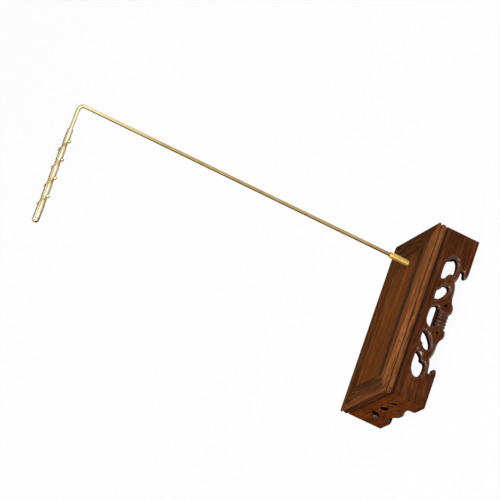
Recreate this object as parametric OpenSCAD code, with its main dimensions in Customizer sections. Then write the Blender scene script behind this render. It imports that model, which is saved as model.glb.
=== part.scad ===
// Brush rack: a low, pierced hardwood stand carries a bent brass mast, and brushes hang
// by their loops from the cross pins of the bar on the mast's arm.
// +X runs along the stand towards the mast, the front faces -Y, +Z is up,
// and the origin lies on the table under the middle of the stand.

/* [Stand] */
// Length of the top frame along X
stand_length = 150; // [135:1:220]
// Width of the top frame along Y
stand_width = 86; // [76:1:130]
// Height of the top above the table
stand_height = 37; // [34:0.5:60]

/* [Top frame] */
// Thickness of the mitred frame and of its panel
frame_thickness = 7.6; // [6:0.1:10]
// Width of a rail, seen from above
rail_width = 18; // [14:0.5:22]
// Radius of the thin upper bead on the frame's edge; the full lower bead takes the rest
upper_bead_r = 0.9; // [0.7:0.1:1.5]
// How far the lower bead lies behind the upper one
lower_bead_setback = 0.2; // [0:0.1:0.8]
// Depth of the ground between the beads
bead_depth = 1.6; // [1:0.1:2.2]
// Seasonal gap between the panel and the rails
panel_gap = 0.3; // [0.2:0.05:0.6]
// Thickness of the panel's tongue
tongue_thickness = 2; // [1.5:0.1:2.6]
// Depth of the tongue's groove in the rails
groove_depth = 3; // [2:0.1:4]
// Side of the square feather spline across each mitre
spline_side = 8; // [6:0.5:10]

/* [Aprons] */
// How far the aprons stand behind the frame's edge
apron_setback = 1; // [0.5:0.1:4]
// Thickness of the apron boards
apron_thickness = 6; // [4:0.5:8]
// Width over the pierced openings of a long apron
long_carving_width = 105; // [95:1:110]
// Width over the pierced openings of an end apron
end_carving_width = 49.2; // [46:0.2:54]
// Height of the openings' top edge above the table
carving_top = 21.8; // [20:0.1:24]

/* [Carving] */
// Radius of the carved vines
vine_r = 1.6; // [1:0.1:1.7]
// How far the vines and the collars rise above the boards' faces
vine_rise = 0.7; // [0.3:0.1:0.9]
// Radius of the buds at the vines' ends
bud_r = 2; // [1.8:0.1:2.3]
// Number of ribs on the barrel
rib_count = 6; // [3:1:8]
// Depth of the grooves between the ribs
rib_groove = 0.6; // [0.2:0.1:0.9]
// Diameter of the collars beside the barrel
collar_d = 6; // [5:0.1:6.4]
// Diameter of the hole drilled in a collar
dot_d = 2.4; // [1.4:0.1:3]
// Depth of that hole
dot_depth = 2.4; // [1:0.1:3]

/* [Inside] */
// Width of a cross batten along X
batten_width = 18; // [14:1:22]
// Height of a cross batten
batten_height = 8; // [6:0.5:12]
// Side of a corner glue block
block_side = 9; // [6:0.5:11]
// Height of a corner glue block
block_height = 20; // [12:1:22]

/* [Ferrule] */
// Distance from the frame's right edge to the mast's axis
mast_inset = 26.5; // [26:0.5:60]
// Height of the ferrule above the panel
ferrule_height = 17; // [12:0.5:30]
// Outside diameter of the ferrule above the panel
ferrule_d = 5; // [4.8:0.1:7]
// Diameter of the ferrule's threaded shank
shank_d = 4.4; // [4.2:0.1:4.6]
// Length of the mast's rod inside the ferrule
plug_depth = 30; // [20:1:36]
// Outside diameter of the washer
washer_d = 10; // [8:0.5:14]
// Thickness of the washer
washer_thickness = 0.8; // [0.5:0.1:1.5]
// Width of the nut across its flats
nut_flats = 7; // [6.5:0.5:9]
// Height of the nut
nut_height = 3.2; // [2.4:0.1:5]

/* [Mast] */
// Diameter of the mast's rod
rod_d = 3; // [2.6:0.1:3.2]
// Height of the arm's axis above the stand's top
mast_rise = 297; // [200:1:360]
// Radius of the bend, at the rod's axis
bend_r = 5; // [4:0.5:12]

/* [Hanging bar] */
// Distance from the mast's axis to the bar's first end
bar_start = 22; // [18:0.5:30]
// Distance from the mast's axis to the tip of the cap
arm_reach = 105; // [100:1:140]
// Diameter of the bar at its first end
bar_start_d = 4.6; // [4.4:0.1:6]
// Diameter of the bar at its tip
bar_tip_d = 5.8; // [5:0.1:7]
// Depth of the rod's end in the bar
rod_socket = 10; // [6:0.5:12]
// Length of the cap beyond the bar
cap_length = 3.2; // [2.6:0.1:5]

/* [Pins] */
// Number of hanging pins
pin_count = 4; // [2:1:5]
// Distance from the mast's axis to the first pin
first_pin = 37; // [36:0.5:45]
// Distance between pins
pin_pitch = 16.1; // [12:0.1:18]
// Diameter of a pin
pin_d = 1.5; // [1.2:0.1:2]
// Diameter of the balls on the pins' ends
ball_d = 3; // [2.6:0.1:4]
// Distance from the bar's axis to the middle of a ball
pin_reach = 11.5; // [8:0.5:16]
// Length of the turned neck that each pin passes through
neck_length = 5; // [4:0.5:7]
// Depth of that neck
neck_depth = 0.3; // [0.1:0.05:0.5]

/* [Fits] */
// Radial clearance of the rod in the ferrule and of the ferrule in the wood
running_clearance = 0.05; // [0.02:0.01:0.1]
// Radial clearance of soldered and screwed brass pieces
solder_clearance = 0.03; // [0.01:0.01:0.1]
// Gap between the washer and the wood
swivel_gap = 0.1; // [0.05:0.05:0.3]

/* [Hidden] */
$fn = 64;
overcut = 1;
wood = "saddlebrown";
dark_wood = "#4a2a16";
pale_wood = "peru";
brass = "goldenrod";

// Levels of the stand
frame_bottom = stand_height - frame_thickness;
lower_bead_r = frame_thickness / 2 - upper_bead_r;
tongue_middle = frame_bottom + frame_thickness / 2;
batten_bottom = frame_bottom - batten_height;

// Plan of the stand
apron_length = stand_length - 2 * apron_setback;
apron_width = stand_width - 2 * apron_setback;
inner_length = apron_length - 2 * apron_thickness;
inner_width = apron_width - 2 * apron_thickness;
panel_length = stand_length - 2 * (rail_width + panel_gap);
panel_width = stand_width - 2 * (rail_width + panel_gap);
tongue_length = panel_length + 2 * groove_depth;
tongue_width = panel_width + 2 * groove_depth;

// Mast, ferrule and bar
mast_x = stand_length / 2 - mast_inset;
arm_z = stand_height + mast_rise;
ferrule_top = stand_height + ferrule_height;
plug_bottom = ferrule_top - plug_depth;
washer_top = batten_bottom - swivel_gap;
nut_top = washer_top - washer_thickness;
shank_spare = 1;
shank_bottom = min(nut_top - nut_height - shank_spare, plug_bottom - shank_spare);
bar_end = arm_reach - cap_length;
cap_neck = 0.8;
cap_spigot_d = 2.4;
cap_spigot_length = 4;

// The carving, drawn for the widths and the height named here and then fitted to the boards.
// Each point is [distance from the middle of the board, height above the table].
drawn_long_width = 105;
drawn_end_width = 49.2;
drawn_top = 21.8;
curve_steps = 4;

// Outer opening of a long apron, a teardrop with a bud that pushes in from below
outer_opening = [
    [32, 20.6], [34.4, 21.5], [38.5, 21.7], [43.4, 21.6], [48.6, 20.3], [51.9, 17.6], [52.7, 15],
    [51, 12.1], [47.4, 10.5], [43, 10.1], [40.2, 10.6], [38.8, 12], [38.6, 13.8], [37.8, 15],
    [35.6, 15.6], [33.4, 17.8],
];
// Leaf-shaped opening beside the middle
leaf_opening = [
    [13.9, 20.4], [16.6, 21.4], [20.6, 21.3], [23.4, 20.3], [24.2, 18.7], [26.2, 17.9], [28, 15.8],
    [28.3, 13], [26.4, 11], [23.4, 11.2], [19.2, 13.5], [15.4, 16.9],
];
// Right half of the arched opening over the barrel, from its top to its flat sill
middle_opening_half = [
    [0, 21.8], [4, 21.6], [7.2, 20.4], [9.2, 17.8], [9.7, 15.9], [8, 14.9], [0, 14.9],
];
// Right half of the lower edge, from the foot's sole round its hooked toe to the middle
long_lower_edge = [
    [43, 0], [41.3, 0.5], [40.6, 1.7], [41.4, 2.8], [43.2, 3.1], [45, 3.9], [45.8, 5.4], [45, 6.7],
    [42.5, 7], [39, 7.2], [36, 8], [33.8, 8.7], [31.6, 7.8], [27, 6.8], [20.6, 6.5], [16.4, 5.4],
    [14.2, 3.9], [12, 3.1], [10.2, 3.3], [8.6, 3.4], [4, 3.4], [0, 3.4],
];
// The same three forms on an end apron
end_side_opening = [
    [12.6, 18.8], [15.4, 20.2], [19.6, 19.8], [23, 17.8], [24.6, 15], [23.8, 12.8], [21, 12.2],
    [17.2, 13.4], [14, 15.8],
];
end_middle_half = [[0, 20], [3.6, 19.3], [6.6, 16.8], [6.2, 14.6], [3, 13.4], [0, 13.2]];
end_lower_edge = [
    [22, 0], [21.4, 1.6], [21.4, 3.2], [20.4, 4.3], [17.5, 4.5], [13.5, 4], [9.5, 3.4], [6.6, 2.7],
    [4.6, 1.6], [2.6, 0.9], [0, 0.8],
];

// Vines on the right half of a long apron, each an arc through three points, counterclockwise
long_vines = [
    [[45.6, 8.5], [54.4, 14.8], [48.4, 22.7]],
    [[33.9, 11.8], [40, 8.9], [45.6, 8.5]],
    [[13, 18.9], [25.6, 8.9], [33.9, 11.8]],
    [[29.6, 20.5], [31, 16.1], [33.9, 11.8]],
];
long_buds = [[48.4, 22.7], [45.6, 8.5], [33.9, 11.8], [29.6, 20.5], [13, 18.9]];
end_vines = [[[12.2, 12.8], [21, 9.8], [26.8, 16]]];
end_buds = [[12.2, 12.8], [26.8, 16]];
// How far a vine stops short of the middle of its bud, and the buds' height above the boards' faces
vine_inset = 0.6;
bud_rise = vine_rise + 0.2;
// The barrel lies between the middle opening's sill and the lower edge, a collar at each end
barrel_half = 8;
barrel_lap = 0.6;
collar_place = [12.1, 10.2];

PINS = [for (i = [1 : pin_count]) str("hang_pin_", i)];
BEADS = [for (i = [1 : pin_count]) str("pin_bead_", i)];
BLOCKS = [for (i = [1 : 4]) str("corner_block_", i)];

// Point at t between b and c on a smooth curve through a, b, c and d
function curve_point(a, b, c, d, t) =
    let (square_part = 2 * a - 5 * b + 4 * c - d, cube_part = 3 * b - a - 3 * c + d)
        (2 * b + (c - a) * t + square_part * t * t + cube_part * t * t * t) / 2;

// Smooth closed curve through the points
function closed_curve(points) = [
    for (i = [0 : len(points) - 1], s = [0 : curve_steps - 1])
        let (n = len(points))
            curve_point(
                points[(i + n - 1) % n], points[i], points[(i + 1) % n], points[(i + 2) % n],
                s / curve_steps
            )
];

// Smooth open curve from the first point to the last
function open_curve(points) = concat(
    [
        for (i = [0 : len(points) - 2], s = [0 : curve_steps - 1])
            curve_point(
                points[max(i - 1, 0)], points[i], points[i + 1], points[min(i + 2, len(points) - 1)],
                s / curve_steps
            )
    ],
    [points[len(points) - 1]]
);

// The points on the other side of the middle, in reverse order
function mirrored(points) = [for (i = [len(points) - 1 : -1 : 0]) [-points[i][0], points[i][1]]];

// Both halves of a curve whose half is given from the right to the middle
function both_halves(half) = concat(half, [for (p = mirrored(half)) if (p[0] < 0) p]);

// Middle of the circle through three points
function arc_middle(a, b, c) =
    let (
        d = 2 * (a[0] * (b[1] - c[1]) + b[0] * (c[1] - a[1]) + c[0] * (a[1] - b[1])),
        x = (a * a) * (b[1] - c[1]) + (b * b) * (c[1] - a[1]) + (c * c) * (a[1] - b[1]),
        y = (a * a) * (c[0] - b[0]) + (b * b) * (a[0] - c[0]) + (c * c) * (b[0] - a[0])
    )
        [x / d, y / d];

function angle_of(p) = atan2(p[1], p[0]);

// Point of the drawing, fitted to a board
function fitted(p, fit) = [p[0] * fit[0], p[1] * fit[1]];

// Last item of a list
function last(items) = items[len(items) - 1];

// Radius of the tapered bar at a distance from the mast's axis
function bar_r(at) =
    (bar_start_d + (bar_tip_d - bar_start_d) * (at - bar_start) / (bar_end - bar_start)) / 2;

function pin_place(i) = first_pin + (i - 1) * pin_pitch;

// Moves its children from the front to another side: 0 front, 1 right, 2 back, 3 left
module on_side(quarter) {
    rotate([0, 0, 90 * quarter]) children();
}

// Trapezium that gives a front board of this length its mitred ends
module mitre_plan(length, front, depth) {
    polygon([
        [-length / 2, front], [length / 2, front],
        [length / 2 - depth, front + depth], [-length / 2 + depth, front + depth],
    ]);
}

// Section of a rail: inwards from its outer edge, and up from its underside
module rail_section() {
    lip = 2 * upper_bead_r;
    difference() {
        union() {
            translate([bead_depth, 0]) square([rail_width - bead_depth, frame_thickness]);
            translate([upper_bead_r, frame_thickness - lip]) square([bead_depth, lip]);
            translate([upper_bead_r, frame_thickness - upper_bead_r]) circle(upper_bead_r);
            translate([lower_bead_r + lower_bead_setback, lower_bead_r]) circle(lower_bead_r);
        }
        translate([rail_width - groove_depth, (frame_thickness - tongue_thickness) / 2])
            square([groove_depth + overcut, tongue_thickness]);
    }
}

// A front rail of this outer length, its outer edge at the distance offset from the middle
module rail(length, offset) {
    intersection() {
        translate([0, -offset, frame_bottom])
            rotate([90, 0, 90])
                linear_extrude(length, center = true) rail_section();
        translate([0, 0, frame_bottom - overcut])
            linear_extrude(frame_thickness + 2 * overcut) mitre_plan(length, -offset, rail_width);
    }
}

// Four square feathers, one across each mitre of the frame
module mitre_splines_solid() {
    from_edge = rail_width / 2;
    for (x = [-1, 1], y = [-1, 1])
        translate([x * (stand_length / 2 - from_edge), y * (stand_width / 2 - from_edge)])
            translate([0, 0, tongue_middle])
                rotate([0, 0, 45]) cube([spline_side, spline_side, tongue_thickness], center = true);
}

module mitre_splines() {
    color(pale_wood) mitre_splines_solid();
}

module front_rail() {
    color(wood)
        difference() {
            rail(stand_length, stand_width / 2);
            mitre_splines_solid();
        }
}

module back_rail() {
    color(wood)
        difference() {
            on_side(2) rail(stand_length, stand_width / 2);
            mitre_splines_solid();
        }
}

module left_rail() {
    color(wood)
        difference() {
            on_side(3) rail(stand_width, stand_length / 2);
            mitre_splines_solid();
        }
}

module right_rail() {
    color(wood)
        difference() {
            on_side(1) rail(stand_width, stand_length / 2);
            mitre_splines_solid();
        }
}

// Hole for the ferrule's shank through the panel and the batten
module shank_hole() {
    translate([mast_x, 0, batten_bottom - overcut])
        cylinder(d = shank_d + 2 * running_clearance, h = stand_height - batten_bottom + 2 * overcut);
}

module top_panel() {
    color(wood)
        difference() {
            union() {
                translate([0, 0, tongue_middle])
                    cube([panel_length, panel_width, frame_thickness], center = true);
                translate([0, 0, tongue_middle])
                    cube([tongue_length, tongue_width, tongue_thickness], center = true);
            }
            shank_hole();
        }
}

// Everything that is cut through an upright board: the gap between its feet and its openings
module piercing(fit, lower_edge, middle_half, side_openings) {
    foot_gap = open_curve(both_halves(lower_edge));
    sole = lower_edge[0][0];
    scale(fit) {
        polygon(concat(foot_gap, [[-sole, -overcut], [sole, -overcut]]));
        polygon(closed_curve(concat(mirrored(middle_half), [for (p = middle_half) if (p[0] > 0) p])));
        for (opening = side_openings) {
            polygon(closed_curve(opening));
            polygon(closed_curve(mirrored(opening)));
        }
    }
}

// Round vine along the arc through three points of the drawing
module vine(arc, fit) {
    points = [for (p = arc) fitted(p, fit)];
    middle = arc_middle(points[0], points[1], points[2]);
    r = norm(points[0] - middle);
    first = angle_of(points[0] - middle);
    turn = (angle_of(points[2] - middle) - first + 360) % 360;
    inset = vine_inset / r * 180 / PI;
    translate(middle)
        rotate(first + inset)
            rotate_extrude(angle = turn - 2 * inset) translate([r, 0]) circle(vine_r);
}

// Vines and buds on both halves of a board whose face lies at z = 0
module vines(arcs, buds, fit) {
    for (side = [0, 1])
        mirror([side, 0, 0]) {
            translate([0, 0, vine_rise - vine_r])
                for (arc = arcs) vine(arc, fit);
            translate([0, 0, bud_rise - bud_r])
                for (bud = buds) translate(fitted(bud, fit)) sphere(bud_r);
        }
}

// Ribbed barrel along X, its front touching z = 0
module barrel(fit) {
    top = last(middle_opening_half)[1] * fit[1];
    bottom = last(long_lower_edge)[1] * fit[1];
    r = (top - bottom) / 2;
    half = barrel_half * fit[0] + barrel_lap;
    pitch = 2 * half / rib_count;
    groove = pitch / 4;
    ribs = [
        for (i = [0 : rib_count - 1])
            let (from = -half + i * pitch)
                each [
                    [r - rib_groove, from], [r, from + groove],
                    [r, from + pitch - groove], [r - rib_groove, from + pitch],
                ]
    ];
    translate([0, (top + bottom) / 2, -r])
        rotate([0, 90, 0]) rotate_extrude() polygon(concat([[0, -half]], ribs, [[0, half]]));
}

// Front board of this length with mitred ends, its face at z = 0 and its foot at y = 0
module mitred_board(length) {
    intersection() {
        translate([-length / 2, 0, -apron_thickness]) cube([length, frame_bottom, apron_thickness]);
        translate([0, -overcut, 0])
            rotate([-90, 0, 0])
                linear_extrude(frame_bottom + 2 * overcut) mitre_plan(length, 0, apron_thickness);
    }
}

// Stands a board up at the front, its face at the distance offset from the middle
module stood_up(offset) {
    translate([0, -offset, 0]) rotate([90, 0, 0]) children();
}

module long_apron() {
    fit = [long_carving_width / drawn_long_width, carving_top / drawn_top];
    half = barrel_half * fit[0];
    sill = last(middle_opening_half)[1] * fit[1];
    stood_up(apron_width / 2) {
        difference() {
            union() {
                mitred_board(apron_length);
                vines(long_vines, long_buds, fit);
                for (side = [-1, 1])
                    translate(fitted([side * collar_place[0], collar_place[1]], fit))
                        translate([0, 0, -overcut]) cylinder(d = collar_d, h = overcut + vine_rise);
            }
            translate([0, 0, -apron_thickness - overcut])
                linear_extrude(apron_thickness + 2 * overcut) {
                    piercing(fit, long_lower_edge, middle_opening_half, [outer_opening, leaf_opening]);
                    translate([-half, 0]) square([2 * half, sill]);
                }
            for (side = [-1, 1])
                translate(fitted([side * collar_place[0], collar_place[1]], fit))
                    translate([0, 0, vine_rise - dot_depth])
                        cylinder(d = dot_d, h = dot_depth + overcut);
        }
        intersection() {
            barrel(fit);
            translate([-apron_length / 2, 0, -apron_thickness])
                cube([apron_length, frame_bottom, apron_thickness + overcut]);
        }
    }
}

module end_apron() {
    fit = [end_carving_width / drawn_end_width, carving_top / drawn_top];
    stood_up(apron_length / 2)
        difference() {
            union() {
                mitred_board(apron_width);
                vines(end_vines, end_buds, fit);
            }
            translate([0, 0, -apron_thickness - overcut])
                linear_extrude(apron_thickness + 2 * overcut)
                    piercing(fit, end_lower_edge, end_middle_half, [end_side_opening]);
        }
}

module front_apron() {
    color(dark_wood) long_apron();
}

module back_apron() {
    color(dark_wood) on_side(2) long_apron();
}

module left_apron() {
    color(dark_wood) on_side(3) end_apron();
}

module right_apron() {
    color(dark_wood) on_side(1) end_apron();
}

// Batten across the stand between the long aprons, under the frame and the panel
module batten(x) {
    translate([x - batten_width / 2, -inner_width / 2, batten_bottom])
        cube([batten_width, inner_width, batten_height]);
}

module mast_batten() {
    color(pale_wood)
        difference() {
            batten(mast_x);
            shank_hole();
        }
}

module cross_batten() {
    color(pale_wood) batten(-mast_x);
}

// Glue block in an inner corner of the aprons, its free edge cut off
module corner_block(corner) {
    side_x = corner % 2 == 1 ? 1 : -1;
    side_y = corner > 2 ? 1 : -1;
    cut = block_side / 2;
    color(pale_wood)
        translate([0, 0, frame_bottom - block_height])
            linear_extrude(block_height)
                scale([side_x, side_y])
                    translate([inner_length / 2, inner_width / 2])
                        polygon([
                            [0, 0], [0, -block_side], [-block_side + cut, -block_side],
                            [-block_side, -block_side + cut], [-block_side, 0],
                        ]);
}

module ferrule() {
    color(brass)
        translate([mast_x, 0, 0])
            difference() {
                union() {
                    translate([0, 0, stand_height]) cylinder(d = ferrule_d, h = ferrule_height);
                    translate([0, 0, shank_bottom])
                        cylinder(d = shank_d, h = stand_height - shank_bottom);
                }
                translate([0, 0, plug_bottom])
                    cylinder(d = rod_d + 2 * running_clearance, h = plug_depth + overcut);
            }
}

module ferrule_washer() {
    color(brass)
        translate([mast_x, 0, nut_top])
            difference() {
                cylinder(d = washer_d, h = washer_thickness);
                translate([0, 0, -overcut])
                    cylinder(d = shank_d + 2 * solder_clearance, h = washer_thickness + 2 * overcut);
            }
}

module ferrule_nut() {
    color(brass)
        translate([mast_x, 0, nut_top - nut_height])
            difference() {
                cylinder(d = nut_flats / cos(30), h = nut_height, $fn = 6);
                translate([0, 0, -overcut])
                    cylinder(d = shank_d + 2 * solder_clearance, h = nut_height + 2 * overcut);
            }
}

// Mast and arm, one rod bent through a right angle
module mast_rod() {
    color(brass)
        translate([mast_x, 0, 0]) {
            translate([0, 0, plug_bottom]) cylinder(d = rod_d, h = arm_z - bend_r - plug_bottom);
            translate([-bend_r, 0, arm_z - bend_r])
                rotate([90, 0, 0])
                    rotate_extrude(angle = 90) translate([bend_r, 0]) circle(d = rod_d);
            along_arm()
                translate([0, 0, bend_r]) cylinder(d = rod_d, h = bar_start + rod_socket - bend_r);
        }
}

// Turns its children's +Z along the arm, from the mast's axis outwards
module along_arm() {
    translate([0, 0, arm_z]) rotate([0, -90, 0]) children();
}

// Half section of the bar: radius, and distance from the mast's axis
module bar_section() {
    shoulder = 0.6;
    necks = [
        for (i = [1 : pin_count])
            let (low = pin_place(i) - neck_length / 2, high = pin_place(i) + neck_length / 2)
                each [
                    [bar_r(low), low], [bar_r(low) - neck_depth, low],
                    [bar_r(high) - neck_depth, high], [bar_r(high), high],
                ]
    ];
    start_r = bar_r(bar_start);
    polygon(concat(
        [[0, bar_start], [start_r - shoulder, bar_start], [start_r, bar_start + shoulder]],
        necks,
        [[bar_r(bar_end), bar_end], [0, bar_end]]
    ));
}

module hanging_bar() {
    color(brass)
        translate([mast_x, 0, 0])
            along_arm()
                difference() {
                    rotate_extrude() bar_section();
                    translate([0, 0, bar_start - overcut])
                        cylinder(d = rod_d + 2 * solder_clearance, h = rod_socket + overcut);
                    translate([0, 0, bar_end - cap_spigot_length])
                        cylinder(
                            d = cap_spigot_d + 2 * solder_clearance,
                            h = cap_spigot_length + overcut
                        );
                    for (i = [1 : pin_count])
                        translate([0, bar_tip_d, pin_place(i)])
                            rotate([90, 0, 0])
                                cylinder(d = pin_d + 2 * solder_clearance, h = 2 * bar_tip_d);
                }
}

// Domed cap with a narrow neck, on a spigot in the bar's tip
module bar_cap() {
    dome = cap_length - cap_neck;
    flare = bar_tip_d / 2;
    dome_r = (flare * flare + dome * dome) / (2 * dome);
    color(brass)
        translate([mast_x, 0, 0])
            along_arm() {
                translate([0, 0, bar_end - cap_spigot_length])
                    cylinder(d = cap_spigot_d, h = cap_spigot_length);
                translate([0, 0, bar_end]) cylinder(d = bar_tip_d - 2 * neck_depth, h = cap_neck);
                intersection() {
                    translate([0, 0, bar_end + cap_neck]) cylinder(r = flare, h = dome);
                    translate([0, 0, arm_reach - dome_r]) sphere(dome_r);
                }
            }
}

// Places its children at a pin's crossing with the bar's axis
module at_pin(i) {
    translate([mast_x - pin_place(i), 0, arm_z]) children();
}

// Cross pin, turned with the ball on its front end
module hang_pin(i) {
    color(brass)
        at_pin(i) {
            translate([0, pin_reach, 0]) rotate([90, 0, 0]) cylinder(d = pin_d, h = 2 * pin_reach);
            translate([0, -pin_reach, 0]) sphere(d = ball_d);
        }
}

// Bored ball that is put on the back end after the pin is through the bar
module pin_bead(i) {
    color(brass)
        at_pin(i)
            difference() {
                translate([0, pin_reach, 0]) sphere(d = ball_d);
                translate([0, pin_reach + solder_clearance, 0])
                    rotate([90, 0, 0]) cylinder(d = pin_d + 2 * solder_clearance, h = ball_d);
            }
}

top_panel();
front_rail();
back_rail();
left_rail();
right_rail();
mitre_splines();
front_apron();
back_apron();
left_apron();
right_apron();
mast_batten();
cross_batten();
for (i = [1 : len(BLOCKS)]) corner_block(i);
ferrule();
ferrule_washer();
ferrule_nut();
mast_rod();
hanging_bar();
bar_cap();
for (i = [1 : pin_count]) hang_pin(i);
for (i = [1 : pin_count]) pin_bead(i);
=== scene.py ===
# %% [markdown]
# # A rack for hanging writing brushes
# A small hardwood stand carries a bent brass mast, and brushes hang by their loops from the cross pins
# on its arm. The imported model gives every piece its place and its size. This lesson dresses it: the
# boards get their carving and their grain, and the brass gets its turned edges and its polish.

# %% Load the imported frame
import math
from collections import namedtuple

import bmesh
import bpy
from mathutils import Matrix, Quaternion, Vector
from mathutils.kdtree import KDTree


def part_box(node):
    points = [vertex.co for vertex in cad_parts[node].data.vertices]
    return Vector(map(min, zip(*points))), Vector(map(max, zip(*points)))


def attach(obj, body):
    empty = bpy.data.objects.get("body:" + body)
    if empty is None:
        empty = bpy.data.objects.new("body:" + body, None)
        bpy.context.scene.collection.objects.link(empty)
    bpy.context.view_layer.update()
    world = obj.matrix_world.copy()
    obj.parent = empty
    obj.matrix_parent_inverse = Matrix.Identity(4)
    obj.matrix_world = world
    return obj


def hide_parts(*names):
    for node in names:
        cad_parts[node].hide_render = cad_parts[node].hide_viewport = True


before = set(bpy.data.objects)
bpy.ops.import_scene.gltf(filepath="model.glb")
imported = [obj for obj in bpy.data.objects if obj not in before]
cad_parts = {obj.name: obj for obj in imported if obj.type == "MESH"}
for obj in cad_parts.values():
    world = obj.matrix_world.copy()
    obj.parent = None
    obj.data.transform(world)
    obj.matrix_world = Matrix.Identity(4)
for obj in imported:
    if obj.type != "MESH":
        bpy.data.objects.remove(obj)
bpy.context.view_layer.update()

# %% [markdown]
# ## Sizes
# Drawings of furniture are in millimetres and Blender works in metres, so one factor turns the first
# into the second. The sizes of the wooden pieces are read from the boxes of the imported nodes, so the
# dressed pieces always fit the frame that they stand for.

# %% Read the main sizes from the frame
MM = 0.001


def node_size(node):
    low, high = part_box(node)
    return high - low


stand_length = node_size("front_rail").x
stand_width = node_size("left_rail").y
stand_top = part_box("top_panel")[1].z
frame_thickness = node_size("front_rail").z
rail_width = node_size("front_rail").y
frame_bottom = stand_top - frame_thickness
apron_length = node_size("front_apron").x
apron_width = node_size("left_apron").y
mast_x = (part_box("ferrule")[0].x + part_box("ferrule")[1].x) / 2
print(f"stand {stand_length / MM:.1f} x {stand_width / MM:.1f} x {stand_top / MM:.1f} mm")

# %% [markdown]
# ## Helpers for making pieces
# Every piece is modelled in a bmesh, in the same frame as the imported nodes, and then becomes an object
# at the origin. Faces that meet at a shallow angle are shaded smooth, and sharper edges stay crisp.

# %% From a bmesh to a piece
SMOOTH_ANGLE = math.radians(38)


def mesh_from(bm, name):
    """Turns a bmesh into a mesh and frees it."""
    mesh = bpy.data.meshes.new(name)
    bm.to_mesh(mesh)
    bm.free()
    return mesh


def linked_object(name, data):
    made = bpy.data.objects.new(name, data)
    bpy.context.scene.collection.objects.link(made)
    return made


def make_piece(name, bm, material, body, slot, *replaced):
    bmesh.ops.recalc_face_normals(bm, faces=bm.faces)
    mesh = mesh_from(bm, name)
    mesh.shade_smooth()
    mesh.set_sharp_from_angle(angle=SMOOTH_ANGLE)
    mesh.materials.append(material)
    piece = linked_object(name, mesh)
    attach(piece, body)
    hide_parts(*replaced)
    print(f"{name}: {len(mesh.polygons)} faces on {body}")
    return piece


def finish_node(name, material):
    """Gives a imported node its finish; its shape stays."""
    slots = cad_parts[name].data.materials
    slots.clear()
    slots.append(material)


# %% Modifiers applied to a bmesh
def scratch_object(bm):
    bmesh.ops.recalc_face_normals(bm, faces=bm.faces)
    return linked_object("scratch", mesh_from(bm, "scratch"))


def discard(made):
    mesh = made.data
    bpy.data.objects.remove(made)
    bpy.data.meshes.remove(mesh)


def applied(made):
    """The object's mesh after its modifiers, as a new bmesh; the object goes."""
    graph = bpy.context.evaluated_depsgraph_get()
    bm = bmesh.new()
    bm.from_mesh(made.evaluated_get(graph).to_mesh())
    discard(made)
    return bm


def cut_away(bm, cutter_bm):
    """The bmesh without the space that the cutter fills."""
    made = scratch_object(bm)
    cutter = scratch_object(cutter_bm)
    cut = made.modifiers.new("cut", "BOOLEAN")
    cut.operation = "DIFFERENCE"
    cut.solver = "EXACT"
    cut.object = cutter
    result = applied(made)
    discard(cutter)
    return result


# %% Cutting, pulling and placing
HAIR = 0.0001 * MM


def only(kind, geometry):
    return [item for item in geometry if isinstance(item, kind)]


def cut_plane(bm, place, normal, clear_outer=True, dist=HAIR):
    """Cuts everything along a plane and, unless told otherwise, clears what lies beyond it."""
    everything = bm.verts[:] + bm.edges[:] + bm.faces[:]
    return bmesh.ops.bisect_plane(
        bm, geom=everything, dist=dist, plane_co=place, plane_no=normal, clear_outer=clear_outer
    )


def close_holes(bm):
    bmesh.ops.holes_fill(bm, edges=[e for e in bm.edges if e.is_boundary])


def extruded(bm, faces, vector):
    """Extrudes faces along a vector, keeps the old ones and returns the moved ones."""
    made = bmesh.ops.extrude_face_region(bm, geom=faces)["geom"]
    bmesh.ops.translate(bm, verts=only(bmesh.types.BMVert, made), vec=vector)
    return only(bmesh.types.BMFace, made)


def pulled(bm, faces, vector):
    """Pulls faces along a vector, with walls behind them, and returns the moved faces."""
    moved = extruded(bm, faces, vector)
    bmesh.ops.delete(bm, geom=faces, context="FACES_ONLY")
    return moved


def placed(bm, matrix):
    bmesh.ops.transform(bm, matrix=matrix, verts=bm.verts)
    return bm


def on_side(bm, quarter):
    """Turns a piece modelled at the front to the right (1), the back (2) or the left (3)."""
    return placed(bm, Matrix.Rotation(quarter * math.pi / 2, 4, "Z"))


# %% Turned shapes
WELD = 0.002 * MM


def turned(profile, steps, place):
    """Spins [radius, height] points, in millimetres, about Z and moves the shape to its place.

    A point with no radius closes the shape.
    """
    bm = bmesh.new()
    verts = [bm.verts.new((radius * MM, 0, height * MM)) for radius, height in profile]
    edges = [bm.edges.new(pair) for pair in zip(verts, verts[1:])]
    bmesh.ops.spin(
        bm, geom=verts + edges, cent=(0, 0, 0), axis=(0, 0, 1), angle=math.tau, steps=steps, use_merge=True
    )
    bmesh.ops.remove_doubles(bm, verts=bm.verts, dist=WELD)
    return placed(bm, place)


def arc(middle, radius, first, last, steps):
    """Points on an arc, with the angles in degrees."""
    angles = [math.radians(first + (last - first) * i / steps) for i in range(steps + 1)]
    return [(middle[0] + radius * math.cos(a), middle[1] + radius * math.sin(a)) for a in angles]


def add_drill(bm, radius, depth, sides, place):
    """A round cutter that reaches as far to one side of its place as to the other."""
    bmesh.ops.create_cone(
        bm, cap_ends=True, segments=sides, radius1=radius, radius2=radius, depth=depth, matrix=place
    )


# %% [markdown]
# ## Camera
# The picture was taken with a long lens from the front left, a little above the stand, and then turned
# by 64 degrees, so that the rack lies across the frame. The camera looks at a point half-way up the
# rack and rolls about its own axis by that angle.

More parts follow.
